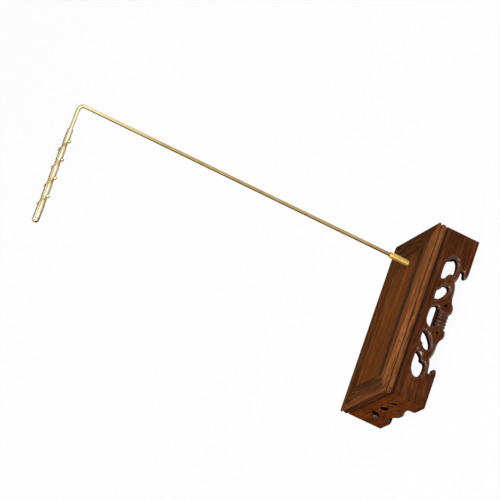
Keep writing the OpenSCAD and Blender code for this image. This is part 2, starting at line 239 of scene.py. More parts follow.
# %% Aim the camera
CAMERA_AZIMUTH = math.radians(21.885)
CAMERA_ELEVATION = math.radians(14.691)
CAMERA_ROLL = math.radians(64.377)
CAMERA_DISTANCE = 2.546
CAMERA_TARGET = Vector((-0.13, 0, 164.77)) * MM
CAMERA_LENS = 232.92
SENSOR_WIDTH = 36

looking = Vector((
    math.sin(CAMERA_AZIMUTH) * math.cos(CAMERA_ELEVATION),
    math.cos(CAMERA_AZIMUTH) * math.cos(CAMERA_ELEVATION),
    -math.sin(CAMERA_ELEVATION),
))
camera = linked_object("camera", bpy.data.cameras.new("camera"))
camera.location = CAMERA_TARGET - looking * CAMERA_DISTANCE
upright = looking.to_track_quat("-Z", "Y")
camera.rotation_mode = "QUATERNION"
camera.rotation_quaternion = upright @ Quaternion((0, 0, 1), -CAMERA_ROLL)
camera.data.sensor_width = SENSOR_WIDTH
camera.data.lens = CAMERA_LENS
bpy.context.scene.camera = camera
print("camera at", [round(c, 3) for c in camera.location])

# %% [markdown]
# ## Nodes
# A material is a tree of nodes. One helper adds a node, sets its options and fills its sockets, either
# with a value or with a link from another node. The others are short names for the nodes used most.

# %% Node helpers
def fill_sockets(tree, made, sockets):
    for key, value in sockets.items():
        if isinstance(value, bpy.types.NodeSocket):
            tree.links.new(value, made.inputs[key])
        else:
            made.inputs[key].default_value = value


def add_node(tree, kind, sockets=None, **options):
    made = tree.nodes.new(kind)
    for name, value in options.items():
        setattr(made, name, value)
    fill_sockets(tree, made, sockets or {})
    return made


def add_group(tree, group, sockets):
    """Places a node group, fills its sockets and returns its outputs."""
    made = tree.nodes.new("ShaderNodeGroup")
    made.node_tree = group
    fill_sockets(tree, made, sockets)
    return made.outputs


FACTOR, COLOR_A, COLOR_B, MIXED = 0, 6, 7, 2


def mix_color(tree, factor, a, b, blend="MIX"):
    sockets = {FACTOR: factor, COLOR_A: a, COLOR_B: b}
    return add_node(tree, "ShaderNodeMix", sockets, data_type="RGBA", blend_type=blend).outputs[MIXED]


def ramp(tree, value, low, high, start=0.0, end=1.0):
    sockets = {"Value": value, "From Min": low, "From Max": high, "To Min": start, "To Max": end}
    return add_node(tree, "ShaderNodeMapRange", sockets, interpolation_type="SMOOTHSTEP").outputs["Result"]


def noise(tree, vector, scale, detail, roughness=0.5, distortion=0.0):
    sockets = {
        "Vector": vector, "Scale": scale, "Detail": detail,
        "Roughness": roughness, "Distortion": distortion,
    }
    return add_node(tree, "ShaderNodeTexNoise", sockets).outputs["Fac"]


def drawn_noise(tree, vector, along, **pattern):
    """Noise on a vector with its X squeezed, which draws the pattern out along the grain."""
    squeezed = add_node(tree, "ShaderNodeMapping", {"Vector": vector, "Scale": (along, 1, 1)})
    return noise(tree, squeezed.outputs["Vector"], **pattern)


def calculate(tree, operation, *values):
    return add_node(tree, "ShaderNodeMath", dict(enumerate(values)), operation=operation).outputs[0]


def times(tree, value, factor):
    return calculate(tree, "MULTIPLY", value, factor)


def vector_math(tree, operation, *vectors, output="Vector"):
    sockets = dict(enumerate(vectors))
    return add_node(tree, "ShaderNodeVectorMath", sockets, operation=operation).outputs[output]


def new_material(name):
    """A new material with its node tree and its shader."""
    material = bpy.data.materials.new(name)
    material.use_nodes = True
    return material, material.node_tree, material.node_tree.nodes["Principled BSDF"]


def new_group(name, inputs, outputs, build):
    """A node group; build gets its tree and the sockets at its two ends, and fills it."""
    group = bpy.data.node_groups.new(name, "ShaderNodeTree")
    for way, sockets in (("INPUT", inputs), ("OUTPUT", outputs)):
        for socket, kind in sockets:
            group.interface.new_socket(socket, in_out=way, socket_type="NodeSocket" + kind)
    build(group, group.nodes.new("NodeGroupInput").outputs, group.nodes.new("NodeGroupOutput").inputs)
    print(f"{name}: {len(group.nodes)} nodes")
    return group


# %% [markdown]
# ## Wood
# The stand is a dense brown hardwood with close, straight stripes. Its growth layers make broad light
# and dark bands, thinner dark lines and threads run through them, open pores show as short dark dashes,
# and a soft mottling lies over all. Noise that is drawn out along the board gives each of these, and
# because it fills space, the stripes carry on round the edges and show as dots on the end grain.

# %% Node group for the grain
WAVER = {"along": 0.3, "scale": 26, "detail": 1}
WAVER_REACH = 0.014
BANDS = {"along": 0.05, "scale": 170, "detail": 2, "roughness": 0.6}
BAND_SPREAD = (0.36, 0.64)
MOTTLE = {"along": 0.4, "scale": 130, "detail": 4, "roughness": 0.75}
MOTTLE_SPREAD = (0.36, 0.66)
CLOUD_SHADE = (0.5, 0.42, 0.38, 1)
LINES = {"along": 0.024, "scale": 520, "detail": 2, "roughness": 0.6, "distortion": 0.3}
THREADS = {"along": 0.03, "scale": 1500, "detail": 1}
PORES = {"along": 0.1, "scale": 2600, "detail": 0}
# Each dark layer has a pattern, the values between which it sets in, and its strength.
DARK_LAYERS = {
    "lines": (LINES, (0.46, 0.62), 0.75),
    "threads": (THREADS, (0.48, 0.62), 0.45),
    "pores": (PORES, (0.6, 0.72), 0.6),
}


def grain_nodes(tree, start, end):
    sideways = times(tree, drawn_noise(tree, start["Vector"], **WAVER), WAVER_REACH)
    drift = add_node(tree, "ShaderNodeCombineXYZ", {"Y": sideways, "Z": sideways}).outputs[0]
    along_grain = vector_math(tree, "ADD", start["Vector"], drift)
    light_share = ramp(tree, drawn_noise(tree, along_grain, **BANDS), *BAND_SPREAD)
    color = mix_color(tree, light_share, start["Middle"], start["Light"])
    shares = {}
    for layer, (pattern, spread, strength) in DARK_LAYERS.items():
        shares[layer] = ramp(tree, drawn_noise(tree, along_grain, **pattern), *spread)
        color = mix_color(tree, times(tree, shares[layer], strength), color, start["Dark"])
    clouds = ramp(tree, drawn_noise(tree, along_grain, **MOTTLE), *MOTTLE_SPREAD)
    color = mix_color(tree, times(tree, clouds, start["Cloud"]), color, CLOUD_SHADE, "MULTIPLY")
    tree.links.new(color, end["Color"])
    roughness = ramp(tree, shares["lines"], 0.0, 1.0, start["Smooth"], start["Rough"])
    tree.links.new(roughness, end["Roughness"])
    tree.links.new(ramp(tree, shares["pores"], 0.0, 1.0, 1.0, 0.0), end["Height"])


grain_group = new_group(
    "wood_grain",
    [("Vector", "Vector"), ("Light", "Color"), ("Middle", "Color"), ("Dark", "Color"),
     ("Cloud", "Float"), ("Smooth", "Float"), ("Rough", "Float")],
    [("Color", "Color"), ("Roughness", "Float"), ("Height", "Float")],
    grain_nodes,
)

# %% [markdown]
# Painted shade darkens the places that light hardly reaches, so the walls of the openings and the roots of
# the vines are darker than the rest; on the brass the same group lays tarnish in the recesses. An ambient
# occlusion node finds such places from the shape alone.

# %% Node group for the painted shade and the tarnish in the recesses
FULLY_HIDDEN = 0.1
OCCLUSION_SAMPLES = 8


def recess_nodes(tree, start, end):
    # Painted shade on the wood and tarnish on the brass: the colour turns to the recess tone where the
    # shape is closed in.
    sockets = {"Distance": start["Reach"]}
    hidden = add_node(tree, "ShaderNodeAmbientOcclusion", sockets, samples=OCCLUSION_SAMPLES)
    sockets = {"Value": hidden.outputs["AO"], "From Min": FULLY_HIDDEN, "From Max": start["Open"]}
    openness = add_node(tree, "ShaderNodeMapRange", sockets).outputs["Result"]
    tree.links.new(mix_color(tree, openness, start["Recess Tone"], start["Color"]), end["Color"])


recess_group = new_group(
    "recess_shade_and_tarnish",
    [("Color", "Color"), ("Recess Tone", "Color"), ("Reach", "Float"), ("Open", "Float")],
    [("Color", "Color")],
    recess_nodes,
)


# %% [markdown]
# Age and light mark the boards in more ways. Wax creeps into the panel from its joints. Painted shade
# darkens the back edge, the underside of the front bead, the apron under the frame and the panel round the
# mast, and a painted sheen makes the far end of the front rail paler. Each of these is a change of colour
# that sets in between two places, so it stays soft.

# %% Tones and finishes of the wood
# The dark tone of the painted shade in the wood's recesses.
RECESS_SHADE_TONE = (26, 12, 5)
# The tone of most painted shades, and of the stains on the rails.
DUST_AND_SHADE_TONE = (40, 25, 18)
STREAK_TONE = (62, 40, 24)
# A pale tone for the painted sheen on the front rail.
SHEEN_TONE = (215, 140, 84)
# Painted shade: between these depths behind the face the carving turns to the dark recess tone.
SHADED_DEPTH = (-3.2, -1.3)
WOOD_OPEN = 0.8
GRAIN_SMOOTH, GRAIN_ROUGH = 0.42, 0.56
PORE_DEPTH = 0.04 * MM
FLAT_POLISH = 0.015
POLISH = {"Specular IOR Level": 0.0, "Coat Weight": FLAT_POLISH, "Coat Roughness": 0.28, "Coat IOR": 1.5}
JOINT_WAX = 0.9 * MM
STREAK_REACH = 17.0 * MM
STREAKS = {"along": 0.2, "scale": 110, "detail": 3, "roughness": 0.65}
STREAK_SPREAD = (0.3, 0.52)
# A shade sets in between two distances, in millimetres, along a direction; most are painted shade, two are
# stains and one is a painted sheen.
Shade = namedtuple("Shade", "direction clear full share tone", defaults=[DUST_AND_SHADE_TONE])


def srgb(red, green, blue):
    """A colour as a screen shows it, 0 to 255, in the linear values that Blender works with."""
    linear = []
    for part in (red, green, blue):
        share = part / 255
        linear.append(share / 12.92 if share <= 0.04045 else ((share + 0.055) / 1.055) ** 2.4)
    return (*linear, 1.0)


def darkened(tree, color, wax, reach, open_at):
    """The colour darkened in the recesses, painted shade on wood and tarnish on brass; reach is in
    millimetres.
    """
    # The wax tone is the recess tone: painted shade on the wood, tarnish on the brass.
    sockets = {"Color": color, "Recess Tone": srgb(*wax), "Reach": reach * MM, "Open": open_at}
    return add_group(tree, recess_group, sockets)["Color"]


def carved_finish(tree, shader, normal, color, facing, rubbed_tilt):
    """Polishes the rubbed edges of the carving and returns the colour with painted shade in its depths."""
    relief = add_node(tree, "ShaderNodeAttribute", attribute_name="relief").outputs["Fac"]
    shine = add_node(tree, "ShaderNodeAttribute", attribute_name="shine").outputs["Fac"]
    ahead = calculate(tree, "ABSOLUTE", vector_math(tree, "DOT_PRODUCT", normal, facing, output="Value"))
    tilted = ramp(tree, ahead, *rubbed_tilt, 1.0, 0.0)
    polish = calculate(tree, "MAXIMUM", times(tree, tilted, shine), FLAT_POLISH)
    tree.links.new(polish, shader.inputs["Coat Weight"])
    # Painted shade in the depths of the carving.
    return mix_color(tree, ramp(tree, relief, *SHADED_DEPTH), srgb(*RECESS_SHADE_TONE), color)


def joint_mask(tree, place, half_size):
    """Where wax has crept into the panel from its joints, furthest along the front."""
    sides = add_node(tree, "ShaderNodeSeparateXYZ", {0: vector_math(tree, "ABSOLUTE", place)}).outputs
    front = add_node(tree, "ShaderNodeSeparateXYZ", {0: place}).outputs["Y"]
    streaks = ramp(tree, drawn_noise(tree, place, **STREAKS), *STREAK_SPREAD)
    near_x = ramp(tree, sides["X"], half_size[0] - JOINT_WAX, half_size[0])
    near_y = ramp(tree, sides["Y"], half_size[1] - JOINT_WAX, half_size[1])
    near_front = ramp(tree, front, -half_size[1], STREAK_REACH - half_size[1], 1.0, 0.0)
    near_edge = calculate(tree, "MAXIMUM", near_x, near_y)
    return calculate(tree, "MAXIMUM", near_edge, times(tree, near_front, streaks))


def shaded(tree, place, color, shade):
    along = vector_math(tree, "DOT_PRODUCT", place, shade.direction, output="Value")
    share = ramp(tree, times(tree, along, 1 / MM), shade.clear, shade.full, 0.0, shade.share)
    return mix_color(tree, share, color, srgb(*shade.tone))


# %% A wood material
def wood_material(
    name, tones, turn=0.0, cloud=0.35, shade_reach=0.8, facing=None, rubbed_tilt=None, joint=None, shades=()
):
    """Wood with the grain along X, or turned about Z; tones are the light, middle and dark colours."""
    material, tree, shader = new_material(name)
    coordinates = add_node(tree, "ShaderNodeTexCoord").outputs
    place = coordinates["Object"]
    along_board = add_node(tree, "ShaderNodeMapping", {"Vector": place, "Rotation": (0, 0, turn)})
    sockets = {socket: srgb(*tone) for socket, tone in zip(("Light", "Middle", "Dark"), tones)}
    sockets.update({"Vector": along_board.outputs["Vector"], "Cloud": cloud})
    sockets.update({"Smooth": GRAIN_SMOOTH, "Rough": GRAIN_ROUGH})
    grain = add_group(tree, grain_group, sockets)
    tree.links.new(grain["Roughness"], shader.inputs["Roughness"])
    pores = add_node(tree, "ShaderNodeBump", {"Height": grain["Height"], "Distance": PORE_DEPTH})
    tree.links.new(pores.outputs["Normal"], shader.inputs["Normal"])
    fill_sockets(tree, shader, POLISH)
    # Painted shade: the grain darkens in the recesses that the occlusion node finds.
    color = darkened(tree, grain["Color"], RECESS_SHADE_TONE, shade_reach, WOOD_OPEN)
    if facing:
        color = carved_finish(tree, shader, coordinates["Normal"], color, facing, rubbed_tilt)
    if joint:
        color = mix_color(tree, joint_mask(tree, place, joint), color, srgb(*STREAK_TONE))
    for shade in shades:
        color = shaded(tree, place, color, shade)
    tree.links.new(color, shader.inputs["Base Color"])
    return material


# %% Woods of the frame and the panel
ACROSS = math.pi / 2
ALONG, INWARD, UP, DOWN = (1, 0, 0), (0, 1, 0), (0, 0, 1), (0, 0, -1)
outer_x, outer_y = stand_length / 2 / MM, stand_width / 2 / MM
underside = frame_bottom / MM
inner_edge = rail_width / MM - outer_y
# Painted shade: the lower half of the front bead, which faces down, is darker.
shaded_under_bead = Shade(DOWN, clear=-4.2 - underside, full=-1.0 - underside, share=0.4)
# Painted sheen: the front rail grows paler towards its far end.
sheen_far_end = Shade(ALONG, clear=-45, full=25, share=0.12, tone=SHEEN_TONE)
joint_stain = Shade((0.075, 1, 0), clear=inner_edge - 4, full=inner_edge - 1, share=0.6)
# Painted shade: the back rail darkens towards its outer back edge.
shaded_back_edge = Shade(INWARD, clear=outer_y - 4, full=outer_y, share=0.7)
near_groove = Shade(ALONG, clear=5.5 - outer_x, full=8 - outer_x, share=0.28)
# Painted shade: the panel darkens towards its far end, round the mast.
shaded_round_mast = Shade(ALONG, clear=34, full=56, share=0.4)
# Painted shadow: the carved long boards darken just under the frame.
shaded_under_frame = Shade(UP, clear=underside - 2.6, full=underside, share=0.85)
rail_tones = ((172, 109, 63), (130, 73, 36), (78, 40, 19))
# Painted shade: the back rail has darker copies of the rail tones.
shaded_back_rail_tones = ((112, 64, 30), (92, 51, 21), (58, 31, 12))
end_rail_tones = ((136, 82, 46), (102, 58, 28), (58, 29, 10))
# Painted shade: the far rail has darker copies of the end rail tones.
shaded_far_rail_tones = ((104, 64, 34), (78, 46, 22), (46, 26, 12))
panel_tones = ((138, 80, 38), (116, 65, 28), (82, 44, 18))
panel_half = (stand_length / 2 - rail_width, stand_width / 2 - rail_width)
front_rail_wood = wood_material(
    "rail_wood_front", rail_tones, cloud=0.6, shade_reach=1.2, shades=[sheen_far_end, joint_stain, shaded_under_bead]
)
back_rail_wood = wood_material("rail_wood_back", shaded_back_rail_tones, shades=[shaded_back_edge])
near_rail_wood = wood_material(
    "rail_wood_near", end_rail_tones, turn=ACROSS, shade_reach=0.3, shades=[near_groove]
)
far_rail_wood = wood_material("rail_wood_far", shaded_far_rail_tones, turn=ACROSS)
panel_wood = wood_material("panel_wood", panel_tones, joint=panel_half, shades=[shaded_round_mast])

# %% Woods of the carved boards and the inside
carved_tones = ((118, 66, 36), (100, 55, 29), (72, 37, 18))
end_carved_tones = ((136, 71, 27), (118, 58, 21), (82, 37, 12))
inner_tones = ((150, 104, 64), (128, 84, 48), (92, 56, 30))
# The painted shade in the carvings' recesses reaches 3.5 mm.
carved_look = {"cloud": 0.6, "shade_reach": 3.5}
long_carved_wood = wood_material(
    "carved_wood_long", carved_tones, facing=INWARD, rubbed_tilt=(0.84, 0.985), shades=[shaded_under_frame],
    **carved_look
)
end_carved_wood = wood_material(
    "carved_wood_ends", end_carved_tones, turn=ACROSS, facing=ALONG, rubbed_tilt=(0.5, 0.85), **carved_look
)
inner_wood = wood_material("inner_wood", inner_tones, turn=ACROSS)
print("wood materials:", [m.name for m in bpy.data.materials if "wood" in m.name])

# %% [markdown]
# ## Brass
# The metal is drawn and turned brass with a bright polish. Handling leaves it a little uneven: the gold
# is warmer in some places, faint smears make the shine softer, and tarnish stays in the recesses. The rod
# is a deeper gold that pales towards the bend. The necks and pins, which a cloth seldom reaches, are
# duller.

# %% Node group and material for the brass
TARNISH_TONE = (70, 44, 18)
PALE_GOLD = (242, 222, 172)
BRASS_OPEN = 0.85
GOLDS = {"scale": 60, "detail": 2, "roughness": 0.6}
GOLD_SPREAD = (0.4, 0.7)
SMEARS = {"scale": 90, "detail": 1}
SMEAR_SPREAD = (0.35, 0.7)


def polish_nodes(tree, start, end):
    warm_share = ramp(tree, noise(tree, start["Vector"], **GOLDS), *GOLD_SPREAD)
    tree.links.new(mix_color(tree, warm_share, start["Bright"], start["Warm"]), end["Color"])
    smear = noise(tree, start["Vector"], **SMEARS)
    tree.links.new(ramp(tree, smear, *SMEAR_SPREAD, start["Smooth"], start["Rough"]), end["Roughness"])


polish_group = new_group(
    "brass_polish",
    [("Vector", "Vector"), ("Bright", "Color"), ("Warm", "Color"), ("Smooth", "Float"), ("Rough", "Float")],
    [("Color", "Color"), ("Roughness", "Float")],
    polish_nodes,
)


def brass_material(name, bright, warm, smooth, rough, metallic=1.0, tarnish=1.0, paling=None):
    """Brass of two mixed golds; paling is the heights in millimetres between which it turns pale."""
    material, tree, shader = new_material(name)
    shader.inputs["Metallic"].default_value = metallic
    place = add_node(tree, "ShaderNodeTexCoord").outputs["Object"]
    sockets = {"Vector": place, "Bright": srgb(*bright), "Warm": srgb(*warm)}
    sockets.update({"Smooth": smooth, "Rough": rough})
    polish = add_group(tree, polish_group, sockets)
    tree.links.new(polish["Roughness"], shader.inputs["Roughness"])
    color = polish["Color"]
    if paling:
        height = add_node(tree, "ShaderNodeSeparateXYZ", {0: place}).outputs["Z"]
        pale_share = ramp(tree, times(tree, height, 1 / MM), *paling)
        color = mix_color(tree, pale_share, color, srgb(*PALE_GOLD))
    color = darkened(tree, color, TARNISH_TONE, tarnish, BRASS_OPEN)
    tree.links.new(color, shader.inputs["Base Color"])
    return material


brass = brass_material("polished_brass", (238, 220, 186), (228, 204, 158), smooth=0.13, rough=0.2)
rod_brass = brass_material(
    "rod_brass", (190, 165, 110), (170, 144, 88), smooth=0.16, rough=0.24, paling=(230, 345)
)
neck_brass = brass_material("neck_brass", (210, 190, 146), (196, 173, 126), smooth=0.2, rough=0.28)
satin_brass = brass_material(
    "satin_brass", (250, 222, 132), (244, 212, 116), smooth=0.46, rough=0.5, metallic=0.8, tarnish=0.3
)
print("brass:", [m.name for m in bpy.data.materials if "brass" in m.name])

# %% [markdown]
# ## The mitred top frame
# Four rails meet at 45 degrees and hold the panel in a groove. A thin bead and a full one run round the
# edge. One section is drawn, extruded along the rail and cut at both ends, so that the beads meet at the
# corners. The cut edges are eased by a hair, as a maker does with one stroke of fine paper.

# %% Section of a rail
UPPER_BEAD_R = 0.9 * MM
LOWER_BEAD_SETBACK = 0.2 * MM
BEAD_DEPTH = 1.6 * MM
GROOVE_DEPTH = 3.0 * MM
TONGUE = 2.0 * MM
EASED = 0.35 * MM
BEAD_STEPS = 12
EASE_STEPS = 4
lower_bead_r = frame_thickness / 2 - UPPER_BEAD_R
upper_middle = (UPPER_BEAD_R, frame_thickness - UPPER_BEAD_R)
lower_middle = (lower_bead_r + LOWER_BEAD_SETBACK, lower_bead_r)
groove_low = (frame_thickness - TONGUE) / 2
inner_top = (rail_width - EASED, frame_thickness - EASED)
bead_swing = math.degrees(math.acos((lower_middle[0] - BEAD_DEPTH) / lower_bead_r))
rail_section = (
    arc(upper_middle, UPPER_BEAD_R, 90, 270, BEAD_STEPS)
    + [(BEAD_DEPTH, frame_thickness - 2 * UPPER_BEAD_R)]
    + arc(lower_middle, lower_bead_r, 180 - bead_swing, 180 + bead_swing, BEAD_STEPS)
    + [(BEAD_DEPTH, 0)]
    + [(rail_width, 0), (rail_width, groove_low), (rail_width - GROOVE_DEPTH, groove_low)]
    + [(rail_width - GROOVE_DEPTH, groove_low + TONGUE), (rail_width, groove_low + TONGUE)]
    + arc(inner_top, EASED, 0, 90, EASE_STEPS)
)


# %% Four rails
MITRE_EASE = 0.14 * MM
CORNER_R = 2.2 * MM
CORNER_STEPS = 4


def mitre_ends(bm, half_length, offset):
    """Cuts both ends of a front piece on the 45 degree planes through the corners."""
    cut_edges = []
    for side in (-1, 1):
        made = cut_plane(bm, (side * half_length, -offset, 0), (side, 1, 0))
        edges = only(bmesh.types.BMEdge, made["geom_cut"])
        bmesh.ops.edgeloop_fill(bm, edges=edges)
        cut_edges += edges
    return cut_edges


def round_corners(bm, half_length, offset):
    """Bends the mouldings round the frame's corners, so that they follow quarter circles in plan."""
    start_x, start_y = half_length - CORNER_R, offset - CORNER_R
    for vert in bm.verts:
        out_x, out_y = abs(vert.co.x) - start_x, -vert.co.y - start_y
        if out_x > 0 and out_y > 0:
            pull = max(out_x, out_y) / math.hypot(out_x, out_y)
            vert.co.x = math.copysign(start_x + out_x * pull, vert.co.x)
            vert.co.y = -start_y - out_y * pull


def make_rail(node, quarter, length, offset, material):
    bm = bmesh.new()
    start = -length / 2 - rail_width
    section = [bm.verts.new((start, -offset + inward, frame_bottom + up)) for inward, up in rail_section]
    extruded(bm, [bm.faces.new(section)], (length + 2 * rail_width, 0, 0))
    for side in (-1, 1):
        for step in range(CORNER_STEPS):
            beyond = CORNER_R * math.tan(math.pi / 4 * step / CORNER_STEPS)
            place = (side * (length / 2 - CORNER_R + beyond), 0, 0)
            cut_plane(bm, place, (side, 0, 0), clear_outer=False)
    edges = mitre_ends(bm, length / 2, offset)
    round_corners(bm, length / 2, offset)
    bmesh.ops.bevel(
        bm, geom=edges, offset=MITRE_EASE, offset_type="OFFSET", segments=1, profile=0.5,
        affect="EDGES", material=-1, clamp_overlap=True,
    )
    make_piece(node + "_dressed", on_side(bm, quarter), material, "stand", "frame_wood", node)


make_rail("front_rail", 0, stand_length, stand_width / 2, front_rail_wood)
make_rail("back_rail", 2, stand_length, stand_width / 2, back_rail_wood)
make_rail("left_rail", 3, stand_width, stand_length / 2, near_rail_wood)
make_rail("right_rail", 1, stand_width, stand_length / 2, far_rail_wood)

# %% [markdown]
# ## The panel
# The panel floats in the frame's groove on a tongue. A thin slab is the tongue; its top and its bottom
# face are inset and pulled out to the full thickness, and the upper edge is rounded over. A hole lets the
# brass socket through.

# %% Panel
PANEL_EASE = 0.7 * MM
SHANK_HOLE_R = 2.25 * MM
HOLE_SIDES = 32
panel_size = node_size("top_panel")
bm = bmesh.new()
bmesh.ops.create_cube(bm, size=1)
to_tongue = Matrix.Diagonal((panel_size.x, panel_size.y, TONGUE, 1))
placed(bm, Matrix.Translation((0, 0, frame_bottom + frame_thickness / 2)) @ to_tongue)
for way in (-1, 1):
    slab_face = max(bm.faces, key=lambda face: way * face.calc_center_median().z)
    bmesh.ops.inset_region(bm, faces=[slab_face], thickness=GROOVE_DEPTH)
    pulled(bm, [slab_face], (0, 0, way * (frame_thickness - TONGUE) / 2))
upper_edges = [e for e in bm.edges if all(v.co.z > stand_top - EASED for v in e.verts)]
bmesh.ops.bevel(
    bm, geom=upper_edges, offset=PANEL_EASE, offset_type="OFFSET", segments=EASE_STEPS, profile=0.5,
    affect="EDGES", material=-1,
)
hole_bm = bmesh.new()
hole_place = Matrix.Translation((mast_x, 0, stand_top))
add_drill(hole_bm, SHANK_HOLE_R, 4 * frame_thickness, HOLE_SIDES, hole_place)
make_piece("top_panel_dressed", cut_away(bm, hole_bm), panel_wood, "stand", "panel_wood", "top_panel")

# %% [markdown]
# ## The carved boards
# Each side of the stand is a board that is sawn through with a fret saw and then carved: vines curl round
# the openings, and a ribbed barrel with two drilled collars fills the middle of the long sides. Modelling
# the flat board, the vines and the barrel as plain overlapping shapes is easy, but they would meet in hard
# creases. A voxel remesh wraps all of them in one skin, and a little smoothing then rounds every edge as a
# knife and fine paper do.

# %% The drawing, in millimetres: [distance from the middle of the board, height above the table]
OUTER_OPENING = [
    (32, 20.6), (34.4, 21.5), (38.5, 21.7), (43.4, 21.6), (48.6, 20.3), (51.9, 17.6), (52.7, 15),
    (51, 12.1), (47.4, 10.5), (43, 10.1), (40.2, 10.6), (38.8, 12), (38.6, 13.8), (37.8, 15),
    (35.6, 15.6), (33.4, 17.8),
]
LEAF_OPENING = [
    (13.9, 20.4), (16.6, 21.4), (20.6, 21.3), (23.4, 20.3), (24.2, 18.7), (26.2, 17.9), (28, 15.8),
    (28.3, 13), (26.4, 11), (23.4, 11.2), (19.2, 13.5), (15.4, 16.9),
]
MIDDLE_HALF = [(0, 21.8), (4, 21.6), (7.2, 20.4), (9.2, 17.8), (9.7, 15.9), (8, 14.9), (0, 14.9)]
LONG_LOWER_EDGE = [
    (43, 0), (41.3, 0.5), (40.6, 1.7), (41.4, 2.8), (43.2, 3.1), (45, 3.9), (45.8, 5.4), (45, 6.7),
    (42.5, 7), (39, 7.2), (36, 8), (33.8, 8.7), (31.6, 7.8), (27, 6.8), (20.6, 6.5), (16.4, 5.4),
    (14.2, 3.9), (12, 3.1), (10.2, 3.3), (8.6, 3.4), (4, 3.4), (0, 3.4),
]
END_SIDE_OPENING = [
    (12.6, 18.8), (15.4, 20.2), (19.6, 19.8), (23, 17.8), (24.6, 15), (23.8, 12.8), (21, 12.2),
    (17.2, 13.4), (14, 15.8),
]
END_MIDDLE_HALF = [(0, 20), (3.6, 19.3), (6.6, 16.8), (6.2, 14.6), (3, 13.4), (0, 13.2)]
END_LOWER_EDGE = [
    (22, 0), (21.4, 1.6), (21.4, 3.2), (20.4, 4.3), (17.5, 4.5), (13.5, 4), (9.5, 3.4), (6.6, 2.7),
    (4.6, 1.6), (2.6, 0.9), (0, 0.8),
]
LONG_VINES = [
    [(45.6, 8.5), (54.4, 14.8), (48.4, 22.7)],
    [(33.9, 11.8), (40, 8.9), (45.6, 8.5)],
    [(13, 18.9), (25.6, 8.9), (33.9, 11.8)],
    [(29.6, 20.5), (31, 16.1), (33.9, 11.8)],
]
END_VINES = [[(12.2, 12.8), (21, 9.8), (26.8, 16)]]
COLLAR = (12.1, 10.2)
BARREL_HALF = 8.6
BARREL_BOTTOM, BARREL_TOP = 3.4, 14.9
BARREL_AXIS = 5.1


# %% Smooth outlines through the drawn points
def mirrored(points):
    return [(-across, up) for across, up in reversed(points)]


def both_halves(half):
    return half + [point for point in mirrored(half) if point[0] < 0]


def closed_outline(half):
    """A closed outline from its right half, which starts and ends on the middle line."""
    return mirrored(half) + [point for point in half if point[0] > 0]


def smooth_through(points, closed, steps):
    """A smooth curve through the points."""
    count = len(points)
    pick = (lambda i: points[i % count]) if closed else (lambda i: points[min(max(i, 0), count - 1)])
    made = []
    for i in range(count if closed else count - 1):
        a, b, c, d = (Vector(pick(i + k)) for k in (-1, 0, 1, 2))
        for step in range(steps):
            t = step / steps
            square_part = 2 * a - 5 * b + 4 * c - d
            cube_part = 3 * b - a - 3 * c + d
            made.append((2 * b + (c - a) * t + square_part * t ** 2 + cube_part * t ** 3) / 2)
    return made if closed else made + [Vector(points[-1])]


# %% [markdown]
# The saw keeps a little inside the drawn line, because the knife that rounds the edges afterwards makes the
# openings wider. The flat board is left larger than needed at its ends, top and foot, and trimmed last.

# %% A flat pierced board
APRON_THICKNESS = 6.0
SPARE = 3.0
SAWN_INSIDE = 0.45
SAWN_STEPS = 5


def sawn(points, closed, steps):
    """The drawn curve moved into the space that is cut out; an open one has that space on its left."""
    curve = smooth_through(points, closed, steps)
    count = len(curve)
    swept = sum(curve[i - 1].x * curve[i].y - curve[i].x * curve[i - 1].y for i in range(count))
    way = -1 if closed and swept < 0 else 1
    made = []
    for i, point in enumerate(curve):
        before = curve[i - 1] if closed or i > 0 else point
        after = curve[(i + 1) % count] if closed or i < count - 1 else point
        run = (after - before).normalized()
        made.append(point + way * SAWN_INSIDE * Vector((-run.y, run.x)))
    return made


def add_loop(bm, points):
    verts = [bm.verts.new((across * MM, 0, up * MM)) for across, up in points]
    return [bm.edges.new((verts[i - 1], verts[i])) for i in range(len(verts))]


def pierced_board(half_length, lower_edge, openings):
    bm = bmesh.new()
    sole = lower_edge[0][0]
    top = frame_bottom / MM + SPARE
    end = half_length / MM + SPARE
    foot_gap = sawn(both_halves(lower_edge), closed=False, steps=SAWN_STEPS)
    outline = [(sole, -SPARE), (end, -SPARE), (end, top), (-end, top), (-end, -SPARE), (-sole, -SPARE)]
    edges = add_loop(bm, [*outline, *reversed(foot_gap)])
    for opening in openings:
        edges += add_loop(bm, sawn(opening, closed=True, steps=SAWN_STEPS))
    bmesh.ops.triangle_fill(bm, use_beauty=True, use_dissolve=False, edges=edges)
    extruded(bm, bm.faces[:], (0, APRON_THICKNESS * MM, 0))
    return bm


# %% Vines and buds
VINE_R = 1.6
VINE_RISE = 0.9
VINE_SIDES = 16
VINE_STEPS = 24
BUD_R = 1.9
BUD_RISE = 1.05
BUD_ROUNDS = 3


def arc_middle(a, b, c):
    """Middle of the circle through three points."""
    turn = 2 * (a.x * (b.y - c.y) + b.x * (c.y - a.y) + c.x * (a.y - b.y))
    across = a.dot(a) * (b.y - c.y) + b.dot(b) * (c.y - a.y) + c.dot(c) * (a.y - b.y)
    up = a.dot(a) * (c.x - b.x) + b.dot(b) * (a.x - c.x) + c.dot(c) * (b.x - a.x)
    return Vector((across / turn, up / turn))


